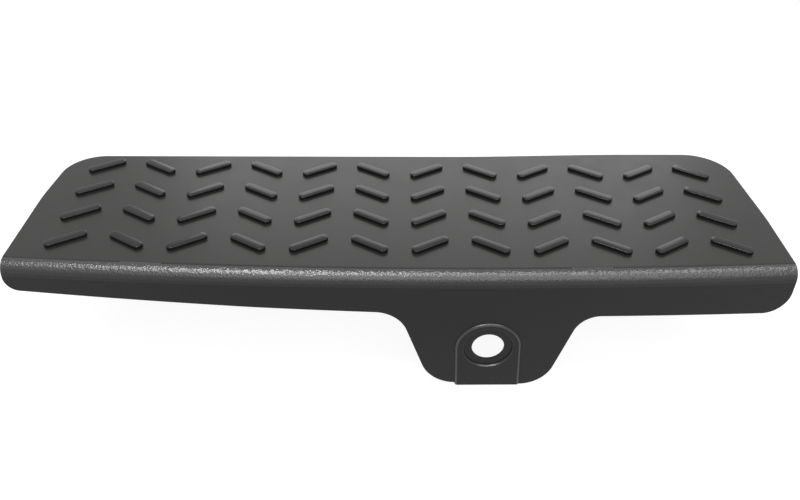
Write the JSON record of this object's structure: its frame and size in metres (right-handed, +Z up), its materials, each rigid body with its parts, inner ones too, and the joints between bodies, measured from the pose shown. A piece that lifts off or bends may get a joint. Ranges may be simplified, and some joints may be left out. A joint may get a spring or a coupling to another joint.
{
  "type": "tailgate step",
  "caption": "Moulded tread step with raised chevron bars, a rolled nose and skirt, and an offset bolt tab, seated on rubber pads and held down by push-in retainers.",
  "frame": {"origin": "middle of the lower face of the centre bump pad, which lies in the plane that all seven pads rest on, half a millimetre right of the middle of the bar pattern and as far in front of it", "axes": "+X runs along the step to the right as the skirt is seen from the front, +Y points back from the skirt to the rear edge, +Z points up out of the tread"},
  "size_m": [0.3192, 0.1014, 0.0604],
  "materials": {
    "moulding": "black glass-filled polypropylene, satin smooth deck and bars, fine pebble grain on the nose, skirt and tab",
    "retainer": "natural nylon, satin",
    "rubber": "solid black rubber, matt"
  },
  "bodies": {
    "root": {"step_moulding": "moulding", "retainer_front_left": "retainer", "retainer_front_right": "retainer", "retainer_rear_far_left": "retainer", "retainer_rear_left": "retainer", "retainer_rear_right": "retainer", "retainer_rear_far_right": "retainer", "bump_pad_front_left": "rubber", "bump_pad_front_middle": "rubber", "bump_pad_front_right": "rubber", "bump_pad_centre": "rubber", "bump_pad_rear_left": "rubber", "bump_pad_rear_middle": "rubber", "bump_pad_rear_right": "rubber", "skirt_strip_left": "rubber", "skirt_strip_right": "rubber"}
  },
  "joints": []
}
